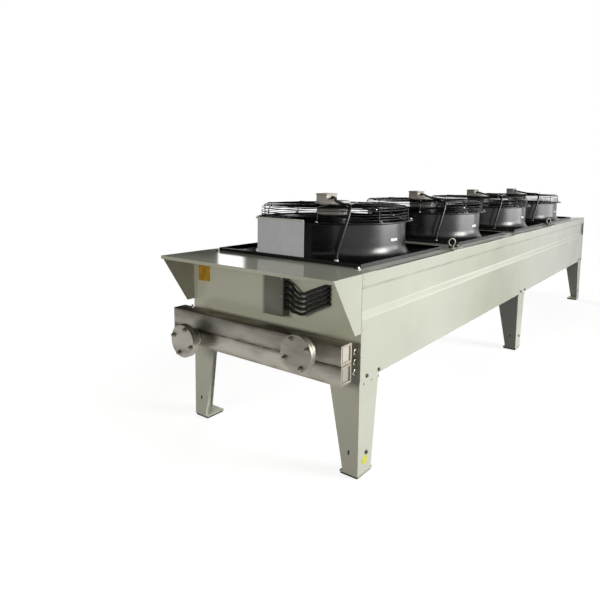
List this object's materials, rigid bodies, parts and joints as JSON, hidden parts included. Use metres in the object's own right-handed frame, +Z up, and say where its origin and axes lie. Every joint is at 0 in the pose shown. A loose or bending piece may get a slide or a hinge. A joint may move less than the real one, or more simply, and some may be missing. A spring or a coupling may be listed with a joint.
{
  "type": "flat-bed dry cooler",
  "caption": "Long pale-grey air-cooled dry cooler on folded legs, with a row of black axial fans on top and a stainless header pair with flanged pipe stubs under a hood at one end.",
  "frame": {"origin": "on the floor under the middle of the whole unit", "axes": "+Y along the unit from the hooded front end to the plain rear end, +X across it, +Z up along the fan axes"},
  "size_m": [1.22, 5.728, 1.423],
  "materials": {
    "casing_paint": "satin powder coat",
    "black_coat": "semi-gloss black coat",
    "stainless": "brushed stainless with weld tint",
    "fin_aluminium": "bare rolled fin stock",
    "black_rubber": "matt black rubber",
    "box_grey": "satin grey paint",
    "motor_grey": "cast, light grey",
    "zinc_plate": "bright zinc plate",
    "pouch_film": "clear film over grey card",
    "blade_black": "satin black"
  },
  "bodies": {
    "root": {"side_panel_left": "casing_paint", "side_panel_right": "casing_paint", "front_end_panel": "casing_paint", "rear_end_panel": "casing_paint", "deck_strips": "casing_paint", "rear_top_cover": "casing_paint", "hood_top": "casing_paint", "hood_cheek_left": "casing_paint", "hood_cheek_right": "casing_paint", "leg_front_left": "casing_paint", "leg_front_right": "casing_paint", "leg_middle_left": "casing_paint", "leg_middle_right": "casing_paint", "leg_rear_left": "casing_paint", "leg_rear_right": "casing_paint", "foot_pads": "black_rubber", "coil_fin_block": "fin_aluminium", "header_lower": "stainless", "header_upper": "stainless", "header_feeders": "stainless", "inlet_stub": "stainless", "outlet_stub": "stainless", "inlet_blind_flange": "stainless", "outlet_blind_flange": "stainless", "vent_plug": "stainless", "terminal_box": "box_grey", "box_leads": "black_rubber", "fan_plate_1": "black_coat", "fan_ring_1": "black_coat", "fan_guard_1": "black_coat", "fan_motor_1": "motor_grey", "fan_plate_2": "black_coat", "fan_ring_2": "black_coat", "fan_guard_2": "black_coat", "fan_motor_2": "motor_grey", "fan_plate_3": "black_coat", "fan_ring_3": "black_coat", "fan_guard_3": "black_coat", "fan_motor_3": "motor_grey", "fan_plate_4": "black_coat", "fan_ring_4": "black_coat", "fan_guard_4": "black_coat", "fan_motor_4": "motor_grey", "fan_leads": "black_rubber", "lead_glands": "black_rubber", "lifting_eyes": "zinc_plate", "document_pouch": "pouch_film"},
    "rotor_1": {"fan_rotor_1": "blade_black"},
    "rotor_2": {"fan_rotor_2": "blade_black"},
    "rotor_3": {"fan_rotor_3": "blade_black"},
    "rotor_4": {"fan_rotor_4": "blade_black"}
  },
  "joints": [
    {"name": "fan_spin_1", "type": "hinge", "parent": "root", "child": "rotor_1", "pos_m": [0, -1.9525, 1.208], "axis": [0, 0, 1], "continuous": true},
    {"name": "fan_spin_2", "type": "hinge", "parent": "root", "child": "rotor_2", "pos_m": [0, -0.63583, 1.208], "axis": [0, 0, 1], "continuous": true},
    {"name": "fan_spin_3", "type": "hinge", "parent": "root", "child": "rotor_3", "pos_m": [0, 0.68083, 1.208], "axis": [0, 0, 1], "continuous": true},
    {"name": "fan_spin_4", "type": "hinge", "parent": "root", "child": "rotor_4", "pos_m": [0, 1.9975, 1.208], "axis": [0, 0, 1], "continuous": true}
  ]
}
